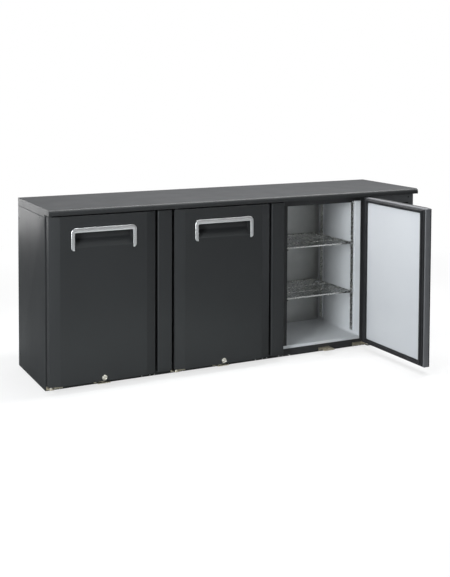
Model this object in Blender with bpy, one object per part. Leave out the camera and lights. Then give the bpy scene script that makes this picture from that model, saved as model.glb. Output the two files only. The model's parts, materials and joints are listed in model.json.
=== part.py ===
"""Three-door under-counter bottle fridge, at rest with doors 1 and 2 shut and door 3 open.

Sizes are written in millimetres in the maker's frame: x from the left side, y from the
plane of the door fronts towards the back, z from the floor. to_metres() moves them to
the row frame, whose origin is on the floor under the middle of the cabinet.
"""

import math
from fnmatch import fnmatch

import bmesh
import bpy
from mathutils import Matrix, Vector

WIDTH = 2000.0
DEPTH = 502.0
HEIGHT = 822.0

GAP = 0.3
SHEET = 1.5

BODY_Z = 8.0
PAN_TOP = 11.0
FRAME_Y = 63.0
FRAME_DEPTH = 32.0
BACK_Y = 498.0

RAIL_TOP_Z = 45.0
FLOOR_Z = 60.0
CEILING_Z = 768.0
UNDER_TOP_Z = 785.0
NOSE_UNDER_Z = 795.0
NOSE_FACE_Z = 811.0
NOSE_DEPTH = 14.0

BAY_LEFT = 37.0
BAY_RIGHT = 1677.0
BAY_BACK = 460.0
PARTITION_X = 1712.7
LIP = 3.0

DOOR_WIDTH = 504.0
DOOR_PITCH = 602.0
DOOR_FIRST_X = 3.0
DOOR_Z = (37.0, 789.0)
DOOR_BACK_Y = 46.0
FLANK_WIDTH = 48.0
FLANK_SET_BACK = 14.0
PIVOT_INSET = 10.0
PIVOT_Y = 18.0
OPENING_INSET = 34.0
DOOR_3_OPEN = math.radians(90)

GASKET_INSET = (10.0, 4.0)
GASKET_BACK_Y = 62.7
LINING_MARGIN_HINGE = 50.0
LINING_MARGIN_FREE = 31.0
LINING_MARGIN_TOP = 21.0
LINING_MARGIN_BOTTOM = 28.0
INNER_FACE_Y = 56.0

PULL_HALF = 138.0
HANDLE_HALF = 154.0
HANDLE_Z = (635.5, 736.0)
HANDLE_BAR = 20.5
HANDLE_OUT = 5.0

LOCK_Z = 52.0
LOCK_R = 10.5
CAM_LENGTH = 29.0

PIN_R = 4.0
PIN_HOLE_R = 4.3

SHELF_WIDTH = 440.0
SHELF_Y = (93.0, 453.0)
SHELF_THICK = 8.0
SHELF_TOPS = (293.0, 549.0)
SHELF_FIRST_X = (59.0, 637.0, 1215.0)
LEDGE = 6.0

PILLAR_WIDTH = 71.0
PILLAR_Y = 12.0

MACHINE_Y = 40.0
MACHINE_X = (1714.0, 1999.7)
MACHINE_Z = (8.5, 789.0)

ROCKER_AXIS = (1836.0, 46.0, 620.0)
ROCKER_LEAN = math.radians(-6)

SMOOTH_BELOW = math.radians(35)

# Finish, the parts that have it, base colour, metallic, roughness.
FINISHES = (
    ("painted", "worktop side_panel_* pillar_* machine_panel door_*_panel",
     (0.055, 0.058, 0.062), 0.0, 0.45),
    ("painted_recess", "rail_* stile_* mullion_*", (0.045, 0.046, 0.05), 0.0, 0.5),
    ("liner_white", "wall_left wall_right wall_floor wall_ceiling evaporator_box",
     (0.78, 0.79, 0.81), 0.0, 0.4),
    ("aluminium", "wall_rear condenser", (0.6, 0.61, 0.61), 1.0, 0.42),
    ("galvanised", "back_panel base_pan", (0.55, 0.56, 0.57), 1.0, 0.45),
    ("rubber_black", "door_*_gasket", (0.02, 0.02, 0.022), 0.0, 0.6),
    ("door_lining", "door_*_inner", (0.8, 0.81, 0.84), 0.0, 0.2),
    ("handle_silver", "door_*_handle", (0.75, 0.75, 0.76), 1.0, 0.3),
    ("shelf_wire", "shelf_*", (0.72, 0.72, 0.71), 1.0, 0.28),
    ("lock_metal", "door_*_lock", (0.76, 0.73, 0.66), 1.0, 0.25),
    ("bracket_steel", "hinge_* keeper_*", (0.62, 0.58, 0.5), 1.0, 0.4),
    ("black_plastic", "foot_* controller light_switch *_fan power_inlet",
     (0.03, 0.03, 0.033), 0.0, 0.5),
    ("black_enamel", "compressor", (0.02, 0.02, 0.022), 0.0, 0.25),
    ("light_cover", "light_bar", (0.9, 0.9, 0.88), 0.0, 0.35),
)


def clear_scene():
    for obj in list(bpy.data.objects):
        bpy.data.objects.remove(obj, do_unlink=True)


def to_metres(point):
    x, y, z = point
    return Vector(((x - WIDTH / 2) / 1000, (y - DEPTH / 2) / 1000, z / 1000))


def add_object(name, mesh_builder):
    """A new object whose mesh is what mesh_builder makes, in millimetres, facing outwards.

    Its origin is the middle of its shape.
    """
    shape = bmesh.new()
    mesh_builder(shape)
    for vertex in shape.verts:
        vertex.co = to_metres(vertex.co)
    bmesh.ops.recalc_face_normals(shape, faces=shape.faces)
    if shape.calc_volume(signed=True) < 0:
        bmesh.ops.reverse_faces(shape, faces=shape.faces)
    limits = [[function(vertex.co[i] for vertex in shape.verts) for i in range(3)]
              for function in (min, max)]
    middle = (Vector(limits[0]) + Vector(limits[1])) / 2
    bmesh.ops.translate(shape, verts=shape.verts, vec=-middle)
    mesh = bpy.data.meshes.new(name)
    shape.to_mesh(mesh)
    shape.free()
    obj = bpy.data.objects.new(name, mesh)
    obj.location = middle
    bpy.context.scene.collection.objects.link(obj)
    return obj


def on_axis(axis, first, second, level):
    """The point at level along axis. first and second are along the other two, in order."""
    return {
        "x": Vector((level, first, second)),
        "y": Vector((first, level, second)),
        "z": Vector((first, second, level)),
    }[axis]


def prism(name, outline, axis, low, high):
    """The outline extruded along axis."""

    def build(shape):
        face = shape.faces.new([shape.verts.new(on_axis(axis, a, b, low)) for a, b in outline])
        extruded = bmesh.ops.extrude_face_region(shape, geom=[face], use_keep_orig=True)
        moved = [part for part in extruded["geom"] if isinstance(part, bmesh.types.BMVert)]
        bmesh.ops.translate(shape, verts=moved, vec=on_axis(axis, 0.0, 0.0, high - low))

    return add_object(name, build)


def box(name, x, y, z):
    corners = ((x[0], y[0]), (x[1], y[0]), (x[1], y[1]), (x[0], y[1]))
    return prism(name, corners, "z", z[0], z[1])


def circle(centre, radius, count, start=0.0):
    return [
        (
            centre[0] + radius * math.cos(start + math.tau * index / count),
            centre[1] + radius * math.sin(start + math.tau * index / count),
        )
        for index in range(count)
    ]


def rod(name, axis, centre, radius, low, high, count=24):
    return prism(name, circle(centre, radius, count), axis, low, high)


def rounded(points, radii, steps=4):
    """The outline with each corner replaced by an arc of its radius."""
    result = []
    count = len(points)
    for index, (point, radius) in enumerate(zip(points, radii)):
        here = Vector(point)
        to_before = (Vector(points[index - 1]) - here).normalized()
        to_after = (Vector(points[(index + 1) % count]) - here).normalized()
        if radius <= 0:
            result.append(tuple(here))
            continue
        half = to_before.angle(to_after) / 2
        middle = here + (to_before + to_after).normalized() * radius / math.sin(half)
        start = here + to_before * radius / math.tan(half) - middle
        end = here + to_after * radius / math.tan(half) - middle
        turn = start.angle_signed(end)
        for step in range(steps + 1):
            angle = -turn * step / steps
            spun = Matrix.Rotation(angle, 2) @ start
            result.append(tuple(middle + spun))
    return result


def lathe(name, profile, centre, axis, count=32):
    """A solid of revolution. profile holds (radius, level) pairs, from one end to the other."""

    def build(shape):
        points = [on_axis(axis, centre[0] + radius, centre[1], level) for radius, level in profile]
        verts = [shape.verts.new(point) for point in points]
        edges = [shape.edges.new(pair) for pair in zip(verts, verts[1:])]
        bmesh.ops.spin(
            shape, geom=verts + edges, cent=on_axis(axis, *centre, 0.0),
            axis=on_axis(axis, 0.0, 0.0, 1.0), angle=math.tau, steps=count, use_merge=True,
        )
        rims = [edge for edge in shape.edges if edge.is_boundary]
        bmesh.ops.holes_fill(shape, edges=rims, sides=0)

    return add_object(name, build)


def lattice(name, xs, ys, z, solid):
    """One flat body made of the grid cells for which solid(column, row) holds."""
    columns = len(xs) - 1
    rows = len(ys) - 1

    def filled(column, row):
        return 0 <= column < columns and 0 <= row < rows and solid(column, row)

    def build(shape):
        points = {}

        def at(column, row, level):
            key = (column, row, level)
            if key not in points:
                points[key] = shape.verts.new((xs[column], ys[row], z[level]))
            return points[key]

        for column in range(columns):
            for row in range(rows):
                if not filled(column, row):
                    continue
                around = ((column, row), (column + 1, row), (column + 1, row + 1), (column, row + 1))
                shape.faces.new([at(i, j, 0) for i, j in reversed(around)])
                shape.faces.new([at(i, j, 1) for i, j in around])
                beside = ((column, row - 1), (column + 1, row), (column, row + 1), (column - 1, row))
                for side, neighbour in enumerate(beside):
                    if filled(*neighbour):
                        continue
                    first = around[side]
                    second = around[(side + 1) % 4]
                    shape.faces.new((at(*first, 0), at(*second, 0), at(*second, 1), at(*first, 1)))

    return add_object(name, build)


def combine(base, others, operation):
    """Applies one exact Boolean for each of the others, then removes them."""
    for other in others:
        modifier = base.modifiers.new("combine", "BOOLEAN")
        modifier.operation = operation
        modifier.solver = "EXACT"
        modifier.object = other
        bpy.context.view_layer.update()
        graph = bpy.context.evaluated_depsgraph_get()
        result = bpy.data.meshes.new_from_object(base.evaluated_get(graph))
        base.modifiers.clear()
        base.data = result
        bpy.data.objects.remove(other, do_unlink=True)
    return base


def union(base, *others):
    return combine(base, others, "UNION")


def cut(base, *others):
    return combine(base, others, "DIFFERENCE")


def set_origin(obj, point):
    """Moves the object's origin to a point in millimetres and leaves its shape in place."""
    origin = to_metres(point)
    obj.data.transform(Matrix.Translation(obj.location - origin))
    obj.location = origin


def hang(objects, name, point, angle):
    """Parents the objects to an empty at the point, and turns it about the vertical."""
    empty = bpy.data.objects.new(name, None)
    empty.empty_display_size = 0.05
    empty.location = to_metres(point)
    bpy.context.scene.collection.objects.link(empty)
    for obj in objects:
        obj.parent = empty
        obj.location -= empty.location
    empty.rotation_euler.z = angle


def add_finishes():
    """Gives each part its own material and shades its round faces smooth."""
    for obj in bpy.data.objects:
        if obj.type != "MESH":
            continue
        finish, _, colour, metallic, roughness = next(
            entry for entry in FINISHES
            if any(fnmatch(obj.name, pattern) for pattern in entry[1].split())
        )
        material = bpy.data.materials.new(f"{obj.name}_{finish}")
        material.diffuse_color = (*colour, 1.0)
        material.use_nodes = True
        shader = material.node_tree.nodes["Principled BSDF"]
        shader.inputs["Base Color"].default_value = (*colour, 1.0)
        shader.inputs["Metallic"].default_value = metallic
        shader.inputs["Roughness"].default_value = roughness
        obj.data.materials.clear()
        obj.data.materials.append(material)
        obj.data.shade_smooth()
        obj.data.set_sharp_from_angle(angle=SMOOTH_BELOW)


def mirror_x(points, centre):
    return [(2 * centre - x, y) for x, y in reversed(points)]


def door_left(index):
    return DOOR_FIRST_X + index * DOOR_PITCH


def opening(index):
    left = door_left(index)
    return left + OPENING_INSET, left + DOOR_WIDTH - OPENING_INSET


def build_shell():
    side = [
        (0, FRAME_Y), (14, FRAME_Y), (14, FRAME_Y + SHEET), (SHEET, FRAME_Y + SHEET),
        (SHEET, 500 - SHEET), (14, 500 - SHEET), (14, 500), (0, 500),
    ]
    prism("side_panel_left", side, "z", BODY_Z, UNDER_TOP_Z - GAP)
    right = prism("side_panel_right", mirror_x(side, WIDTH / 2), "z", BODY_Z, UNDER_TOP_Z - GAP)
    vents = [box("vent", (1990, 2010), (180, 400), (90 + 26 * i, 99 + 26 * i)) for i in range(10)]
    cut(right, *vents)

    back = box("back_panel", (0, WIDTH), (500.3, DEPTH), (BODY_Z, UNDER_TOP_Z - GAP))
    slots = [box("vent", (1760, 1950), (495, 510), (150 + 30 * i, 160 + 30 * i)) for i in range(12)]
    cut(back, *slots, box("inlet_hole", (1899, 1931), (495, 510), (59, 91)))

    box("base_pan", (1.8, WIDTH - 1.8), (64.8, BACK_Y), (9, PAN_TOP))

    nose = [
        (NOSE_DEPTH * (1 - math.cos(math.pi / 2 * step / 8)),
         NOSE_FACE_Z + (HEIGHT - NOSE_FACE_Z) * math.sin(math.pi / 2 * step / 8))
        for step in range(9)
    ]
    profile = [(0, NOSE_UNDER_Z)] + nose + [
        (DEPTH, HEIGHT), (DEPTH, UNDER_TOP_Z), (66.3, UNDER_TOP_Z), (66.3, NOSE_UNDER_Z),
    ]
    prism("worktop", profile, "x", 0, WIDTH)


def build_feet():
    profile = [(20, 0), (20, 4), (9, 6.5), (9, 8.7)]
    places = {
        "foot_front_left": (90, 145), "foot_front_right": (1910, 145),
        "foot_back_left": (90, 440), "foot_back_right": (1910, 440),
        "foot_middle": (WIDTH / 2, DEPTH / 2),
    }
    for name, centre in places.items():
        lathe(name, profile, centre, "z", 24)


def build_walls():
    lower = box("wall_floor", (1.8, PARTITION_X), (FRAME_Y + FRAME_DEPTH + GAP, BACK_Y), (11.3, 45))
    upper = box("upper", (BAY_LEFT + GAP, BAY_RIGHT - GAP), (FRAME_Y, BAY_BACK), (45 + GAP, FLOOR_Z))
    joint = box("joint", (BAY_LEFT + GAP, BAY_RIGHT - GAP), (100, BAY_BACK), (40, 50))
    union(lower, joint, upper)
    box("wall_ceiling", (1.8, PARTITION_X), (FRAME_Y + FRAME_DEPTH + GAP, BACK_Y),
        (CEILING_Z, UNDER_TOP_Z - GAP))

    side = [
        (1.8, 75.3), (BAY_LEFT - LIP, 75.3), (BAY_LEFT - LIP, FRAME_Y), (BAY_LEFT, FRAME_Y),
        (BAY_LEFT, BACK_Y), (1.8, BACK_Y),
    ]
    height = (RAIL_TOP_Z + GAP, CEILING_Z - GAP)
    left = prism("wall_left", side, "z", *height)
    middle = (BAY_LEFT + BAY_RIGHT) / 2
    other = [(x, y) for x, y in mirror_x(side, middle)]
    other = [(PARTITION_X if x > 1705 else x, y) for x, y in other]
    right = prism("wall_right", other, "z", *height)
    for wall, face, way in ((left, BAY_LEFT, 1), (right, BAY_RIGHT, -1)):
        for y in ((112, 136), (404, 428)):
            strip = sorted((face - way, face + way * 7))
            union(wall, box("pilaster", strip, y, (FLOOR_Z + 20, CEILING_Z - 20)))
            for top in SHELF_TOPS:
                under = top - SHELF_THICK - GAP
                span = sorted((face + way * 3, face + way * 48))
                ledge_y = (y[0] + 4, y[1] - 4)
                union(wall, box("ledge", span, ledge_y, (under - LEDGE, under)))

    rear = box("wall_rear", (BAY_LEFT + GAP, BAY_RIGHT - GAP), (BAY_BACK + GAP, BACK_Y), height)
    for index in (0, 1):
        for top in SHELF_TOPS:
            under = top - SHELF_THICK - GAP
            span = (opening(index)[1] + 5, opening(index + 1)[0] + 20)
            union(rear, box("ledge", span, (420, BAY_BACK + 5), (under - LEDGE, under)))


def build_front_frame():
    bottom = [
        (FRAME_Y, BODY_Z), (FRAME_Y + SHEET, BODY_Z), (FRAME_Y + SHEET, 11.3),
        (FRAME_Y + FRAME_DEPTH, 11.3), (FRAME_Y + FRAME_DEPTH, RAIL_TOP_Z), (FRAME_Y, RAIL_TOP_Z),
    ]
    prism("rail_bottom", bottom, "x", 14.3, PARTITION_X)

    top = [
        (FRAME_Y, CEILING_Z), (FRAME_Y + FRAME_DEPTH, CEILING_Z),
        (FRAME_Y + FRAME_DEPTH, UNDER_TOP_Z - GAP), (66, UNDER_TOP_Z - GAP), (66, 794.7),
        (FRAME_Y, 794.7),
    ]
    rail = prism("rail_top", top, "x", 14.3, PARTITION_X)
    for index in range(3):
        pivot = pivot_of(index)
        low, high = (pivot - 10, pivot + 11) if index < 2 else (pivot - 11, pivot + 10)
        ear = rounded(((low, 8), (high, 8), (high, 64), (low, 64)), (8, 8, 0, 0), 3)
        union(
            rail,
            prism("ear", ear, "z", 791, 794.4),
            rod("pin", "z", (pivot, PIVOT_Y), PIN_R, 779, 792, 24),
        )

    height = (RAIL_TOP_Z + GAP, CEILING_Z - GAP)
    box("stile_left", (14.3, BAY_LEFT - LIP - GAP), (FRAME_Y, 75), height)
    box("stile_right", (BAY_RIGHT + LIP + GAP, PARTITION_X), (FRAME_Y, 75), height)
    for index in (0, 1):
        span = (opening(index)[1], opening(index + 1)[0])
        mullion = box(f"mullion_{index + 1}", span, (FRAME_Y, 90), (FLOOR_Z + GAP, height[1]))
        for level in SHELF_TOPS:
            under = level - SHELF_THICK - GAP
            ledge = (span[0] + 5, span[1] + 20)
            union(mullion, box("ledge", ledge, (86, 150), (under - LEDGE, under)))

        centre = (door_left(index) + DOOR_WIDTH + door_left(index + 1)) / 2
        low, high = centre - PILLAR_WIDTH / 2, centre + PILLAR_WIDTH / 2
        cover = ((low, PILLAR_Y), (high, PILLAR_Y), (high, FRAME_Y - GAP), (low, FRAME_Y - GAP))
        prism(f"pillar_{index + 1}", rounded(cover, (4, 4, 0, 0)), "z", *DOOR_Z)


def pivot_of(index):
    left = door_left(index)
    return left + PIVOT_INSET if index < 2 else left + DOOR_WIDTH - PIVOT_INSET


def build_hinges_and_keepers():
    for index in range(3):
        centre = door_left(index) + DOOR_WIDTH / 2
        edge = DOOR_WIDTH / 2
        plate = [
            (centre + edge - 76, 62.7), (centre + edge - 76, 48), (centre + edge - 27, 48),
            (centre + edge - 21, 8), (centre + edge, 8), (centre + edge, 62.7),
        ]
        flange = (centre + edge - 76, centre + edge)
        if index < 2:
            plate = mirror_x(plate, centre)
            flange = (centre - edge, centre - edge + 76)
        radii = [4 if y < 20 else 0 for _, y in plate]
        pivot = (pivot_of(index), PIVOT_Y)
        union(
            prism(f"hinge_{index + 1}", rounded(plate, radii, 3), "z", 25, 29),
            box("flange", flange, (60, 62.7), (12, 27)),
            rod("washer", "z", pivot, 8, 28, 36.4, 24),
            rod("pin", "z", pivot, PIN_R, 30, 48, 24),
        )
        keeper = union(
            box(f"keeper_{index + 1}", (centre - 30, centre + 32), (5, 62.7), (24, 28)),
            box("flange", (centre - 30, centre + 32), (60, 62.7), (12, 26)),
        )
        cut(keeper, box("slot", (centre - 7, centre + 25), (20, 30), (20, 32)))


def build_door(index):
    number = index + 1
    left = door_left(index)
    right = left + DOOR_WIDTH
    centre = (left + right) / 2

    plan = (
        (left, FLANK_SET_BACK), (left + FLANK_WIDTH, 0), (right - FLANK_WIDTH, 0),
        (right, FLANK_SET_BACK), (right, DOOR_BACK_Y), (left, DOOR_BACK_Y),
    )
    panel = prism(f"door_{number}_panel", rounded(plan, (3, 12, 12, 3, 1, 1)), "z", *DOOR_Z)
    bar = HANDLE_Z[1] - HANDLE_BAR
    scoop = (
        (-6, bar - 67.5), (-6, bar + GAP), (4, bar + GAP), (10, bar + 13.5), (32, bar + 13.5),
        (34, bar + 7), (33, bar - 31), (0, bar - 67.5),
    )
    pivot = (pivot_of(index), PIVOT_Y)
    cut(
        panel,
        prism("scoop", scoop, "x", centre - PULL_HALF, centre + PULL_HALF),
        rod("bore", "y", (centre, LOCK_Z), LOCK_R + GAP, -3, 24.2, 32),
        box("cam_room", (centre - 9, centre + 34), (21, 30), (30, 61)),
        rod("pin_hole", "z", pivot, PIN_HOLE_R, 30, 49, 24),
        rod("pin_hole", "z", pivot, PIN_HOLE_R, 778, 795, 24),
    )

    inset_x, inset_z = GASKET_INSET
    outer = (left + inset_x, right - inset_x, DOOR_Z[0] + inset_z, DOOR_Z[1] - inset_z)
    margins = (LINING_MARGIN_HINGE, LINING_MARGIN_FREE)
    if index == 2:
        margins = (LINING_MARGIN_FREE, LINING_MARGIN_HINGE)
    inner = (
        left + margins[0], right - margins[1],
        DOOR_Z[0] + LINING_MARGIN_BOTTOM, DOOR_Z[1] - LINING_MARGIN_TOP,
    )
    gasket = cut(
        box(f"door_{number}_gasket", outer[:2], (DOOR_BACK_Y + GAP, GASKET_BACK_Y), outer[2:]),
        box("window", inner[:2], (DOOR_BACK_Y, GASKET_BACK_Y + 5), inner[2:]),
    )
    lining = box(
        f"door_{number}_inner", (inner[0] + GAP, inner[1] - GAP),
        (DOOR_BACK_Y + GAP, INNER_FACE_Y), (inner[2] + GAP, inner[3] - GAP),
    )

    low, high = HANDLE_Z
    outline = (
        (centre - HANDLE_HALF, low), (centre - HANDLE_HALF, high), (centre + HANDLE_HALF, high),
        (centre + HANDLE_HALF, low), (centre + PULL_HALF, low), (centre + PULL_HALF, bar),
        (centre - PULL_HALF, bar), (centre - PULL_HALF, low),
    )
    radii = (14, 21, 21, 14, 1.5, 6, 6, 1.5)
    handle = prism(f"door_{number}_handle", rounded(outline, radii, 5), "y", -HANDLE_OUT, -GAP)

    lock = lathe(
        f"door_{number}_lock", [(11.5, -2.8), (12.5, -1.8), (12.5, -GAP)], (centre, LOCK_Z), "y", 32
    )
    cam = rounded(
        ((centre - 7, LOCK_Z - 5), (centre + CAM_LENGTH, LOCK_Z - 5),
         (centre + CAM_LENGTH, LOCK_Z + 5), (centre - 7, LOCK_Z + 5)),
        (0, 3, 3, 0), 3,
    )
    union(
        lock,
        rod("barrel", "y", (centre, LOCK_Z), LOCK_R, -1, 23.8, 32),
        prism("cam", cam, "y", 23.5, 27),
    )
    cut(lock, box("keyway", (centre - 4, centre + 4), (-5, -1.2), (LOCK_Z - 1, LOCK_Z + 1)))

    set_origin(lock, (centre, 0, LOCK_Z))
    angle = DOOR_3_OPEN if number == 3 else 0.0
    hang((panel, gasket, lining, handle, lock), f"door_{number}_hinge", (*pivot, DOOR_Z[0]), angle)


def build_shelves():
    wires = 16
    frame = 7.0
    wire = 3.6
    for index, left in enumerate(SHELF_FIRST_X):
        for level, top in enumerate(SHELF_TOPS):
            right = left + SHELF_WIDTH
            xs = [left, left + frame]
            pitch = (SHELF_WIDTH - 2 * frame) / (wires + 1)
            for number in range(wires):
                middle = left + frame + pitch * (number + 1)
                xs += [middle - wire / 2, middle + wire / 2]
            xs += [right - frame, right]
            front, back = SHELF_Y
            third = (back - front) / 3
            ys = [
                front, front + frame, front + third, front + third + frame,
                back - third - frame, back - third, back - frame, back,
            ]
            lattice(
                f"shelf_{index + 1}_{('lower', 'upper')[level]}", xs, ys, (top - SHELF_THICK, top),
                lambda column, row: column % 2 == 0 or row % 2 == 0,
            )


def fan(name, centre, hub, reach, y, count):
    """A hub and its blades as one body: a flat star whose blades sweep back."""
    outline = []
    for number in range(count):
        spin = math.tau * number / count
        for radius, angle in ((hub, -0.52), (hub, -0.3), (reach, -0.1), (reach, 0.1),
                              (reach, 0.3), (reach, 0.5), (hub, 0.2), (hub, 0.4)):
            around = spin + angle
            outline.append((centre[0] + radius * math.cos(around),
                            centre[1] + radius * math.sin(around)))
    return prism(name, outline, "y", *y)


def build_machine():
    x, z = MACHINE_X, MACHINE_Z
    panel = box("machine_panel", x, (MACHINE_Y, FRAME_Y - GAP), z)
    hollow = box(
        "hollow", (x[0] + SHEET, x[1] - SHEET), (MACHINE_Y + SHEET, FRAME_Y + 5),
        (z[0] + SHEET, z[1] - SHEET),
    )
    cut(panel, hollow)
    for row in range(15):
        cut(panel, box("slot", (1926, 1968), (30, 50), (741 - 22 * row, 747 - 22 * row)))
    for row in range(13):
        for column in range(3):
            low = 1746 + 60 * column
            cut(panel, box("slot", (low, low + 42), (30, 50), (345 - 22 * row, 351 - 22 * row)))
    cut(
        panel,
        box("display_hole", (1750, 1850), (30, 50), (605, 635)),
        rod("screw_hole", "y", (1968, 775), 4.2, 30, 50, 16),
    )

    controller = union(
        box("controller", (1745, 1857), (36.5, MACHINE_Y - GAP), (601, 639)),
        box("case", (1751, 1849), (38, 78), (606, 634)),
    )
    cut(controller, box("rocker_hole", (1826.6, 1845.4), (30, 58), (608.6, 631.4)))

    rocker_profile = ((34.2, 609.5), (36.0, 620), (34.2, 630.5), (44, 629), (50, 620), (44, 611))
    rocker = prism("light_switch", rocker_profile, "x", 1827, 1845)
    set_origin(rocker, ROCKER_AXIS)
    rocker.rotation_euler.x = ROCKER_LEAN

    lathe(
        "compressor",
        [(92, 11.3), (92, 15), (60, 17), (60, 30), (78, 36), (86, 60), (88, 100), (86, 101), (86, 112),
         (84, 150), (74, 180), (52, 197), (20, 204)],
        (1862, 360), "z", 32,
    )

    core = box("condenser", (1745, 1975), (84, 132), (40, 290))
    fan_centre = (1860, 165)
    union(
        core,
        box("leg", (1745, 1751), (84, 150), (11.3, 60)),
        box("leg", (1969, 1975), (84, 150), (11.3, 60)),
        box("shroud", (1750, 1970), (128, 136), (55, 275)),
    )
    cut(core, rod("air", "y", fan_centre, 94, 120, 140, 40))
    tube = rod("tube", "y", fan_centre, 98, 130, 170, 40)
    cut(tube, rod("air", "y", fan_centre, 94, 120, 180, 40))
    union(core, tube)
    union(
        core,
        box("arm", (1852, 1868), (167, 171), (69, 261)),
        rod("motor", "y", fan_centre, 34, 168, 222, 32),
        rod("shaft", "y", fan_centre, 4, 150, 170, 24),
    )
    wheel = fan("condenser_fan", fan_centre, 24, 89, (142, 162), 5)
    cut(wheel, rod("shaft_hole", "y", fan_centre, 4.3, 146, 170, 24))
    set_origin(wheel, (fan_centre[0], 152, fan_centre[1]))

    inlet = box("power_inlet", (1900, 1930), (474, DEPTH), (60, 90))
    cut(inlet, box("socket", (1903.5, 1926.5), (486, 510), (67, 83)))


def build_evaporator():
    centre = (857, 686)
    housing = box("evaporator_box", (697, 1017), (330, BAY_BACK - GAP), (606, CEILING_Z - GAP))
    cut(housing, rod("air", "y", centre, 64, 320, 392, 40))
    for row in range(6):
        height = (622 + 22 * row, 630 + 22 * row)
        cut(
            housing,
            box("slot", (712, 772), (320, 345), height),
            box("slot", (942, 1002), (320, 345), height),
        )
    union(
        housing,
        rod("motor", "y", centre, 24, 362, 400, 24),
        rod("shaft", "y", centre, 3, 344, 365, 24),
    )
    wheel = fan("evaporator_fan", centre, 17, 59, (338, 354), 5)
    cut(wheel, rod("shaft_hole", "y", centre, 3.3, 341, 370, 24))
    set_origin(wheel, (centre[0], 346, centre[1]))

    box("light_bar", (62, 1652), (104, 122), (757, CEILING_Z - GAP))


def main():
    clear_scene()
    build_shell()
    build_feet()
    build_walls()
    build_front_frame()
    build_hinges_and_keepers()
    for index in range(3):
        build_door(index)
    build_shelves()
    build_machine()
    build_evaporator()
    add_finishes()


main()
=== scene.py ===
"""Looks of a three-door under-counter bottle fridge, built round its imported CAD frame.

Meshes are filled in millimetres in the frame's own axes: x along the front, y to the back and
z up. new_object() brings them to the frame's metres. A door's pieces are made in the door's own
axes, u from its left edge, v from its face to its back and z up, and door_axes() puts them
where the door is at rest.
"""

import json
import math

import bmesh
import bpy
from mathutils import Matrix, Vector


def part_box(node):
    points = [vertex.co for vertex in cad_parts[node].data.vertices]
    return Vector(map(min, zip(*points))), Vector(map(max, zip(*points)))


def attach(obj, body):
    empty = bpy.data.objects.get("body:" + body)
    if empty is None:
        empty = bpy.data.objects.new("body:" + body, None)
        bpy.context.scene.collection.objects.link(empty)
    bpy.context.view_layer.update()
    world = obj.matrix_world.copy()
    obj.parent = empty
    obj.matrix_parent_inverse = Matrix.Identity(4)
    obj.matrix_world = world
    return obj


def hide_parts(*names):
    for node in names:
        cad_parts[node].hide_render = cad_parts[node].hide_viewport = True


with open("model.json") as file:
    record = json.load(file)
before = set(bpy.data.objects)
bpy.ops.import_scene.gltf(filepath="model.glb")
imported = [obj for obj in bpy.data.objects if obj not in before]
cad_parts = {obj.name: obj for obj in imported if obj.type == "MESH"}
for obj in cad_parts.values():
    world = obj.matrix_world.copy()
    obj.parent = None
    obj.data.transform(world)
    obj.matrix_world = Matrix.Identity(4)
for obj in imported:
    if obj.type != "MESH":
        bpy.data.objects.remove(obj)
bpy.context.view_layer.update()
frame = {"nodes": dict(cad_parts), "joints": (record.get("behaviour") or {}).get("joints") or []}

MM = 0.001
GAP = 0.3  # millimetres between pieces that would otherwise share a face
SHEET = 1.5  # thickness of the outer sheets in millimetres
SMOOTH_BELOW = math.radians(35)
WELD_BELOW = 0.01 * MM
PLANES = {"x": (1, 2, 0), "y": (0, 2, 1), "z": (0, 1, 2)}
DOORS = (1, 2, 3)
LEFT_HUNG = (1, 2)
SHELVES = [f"shelf_{bay}_{level}" for bay in DOORS for level in ("lower", "upper")]


class Box:
    """The box of a CAD node in millimetres, in the axes that the matrix turns to."""

    def __init__(self, node, axes=None):
        corners = [(axes @ corner if axes else corner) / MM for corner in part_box(node)]
        self.x, self.y, self.z = (tuple(sorted(ends)) for ends in zip(*corners))
        (self.x0, self.x1), (self.y0, self.y1), (self.z0, self.z1) = self.x, self.y, self.z
        self.cx, self.cy, self.cz = (sum(ends) / 2 for ends in (self.x, self.y, self.z))


def joint_place(name):
    return next(Vector(j["pos_m"]) / MM for j in frame["joints"] if j["name"] == name)


def add_object(name, data):
    obj = bpy.data.objects.new(name, data)
    bpy.context.scene.collection.objects.link(obj)
    return obj


def mesh_object(name, shape):
    """Makes an object of a bmesh, and frees the bmesh."""
    mesh = bpy.data.meshes.new(name)
    shape.to_mesh(mesh)
    shape.free()
    return add_object(name, mesh)


def mix_shaders(tree, share, first, second):
    """A mix of two shader nodes by an output from 0 to 1."""
    mix = tree.nodes.new("ShaderNodeMixShader")
    for socket, output in zip(mix.inputs, (share, first.outputs[0], second.outputs[0])):
        tree.links.new(output, socket)
    return mix


# ---------------------------------------------------------------- camera, light and floor


def make_camera():
    data = bpy.data.cameras.new("camera")
    data.sensor_width = 36.0
    data.lens = 60.815
    data.shift_y = -0.28
    data.clip_end = 80.0
    camera = add_object("camera", data)
    yaw, pitch, roll = (math.radians(a) for a in (27.051, 2.937, 0.258))
    aim = Matrix.Rotation(-yaw, 4, "Z") @ Matrix.Rotation(math.pi / 2 - pitch, 4, "X")
    camera.matrix_world = (
        Matrix.Translation((-2.2312, -4.3389, 1.4037)) @ aim @ Matrix.Rotation(roll, 4, "Z")
    )
    bpy.context.scene.camera = camera


def add_light(name, place, aim, size, power, colour=(1.0, 1.0, 1.0)):
    data = bpy.data.lights.new(name, "AREA")
    data.shape = "RECTANGLE"
    data.size, data.size_y = size
    data.energy = power
    data.color = colour
    light = add_object(name, data)
    light.location = place
    light.rotation_euler = (Vector(aim) - Vector(place)).to_track_quat("-Z", "Y").to_euler()
    light.visible_camera = False


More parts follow.
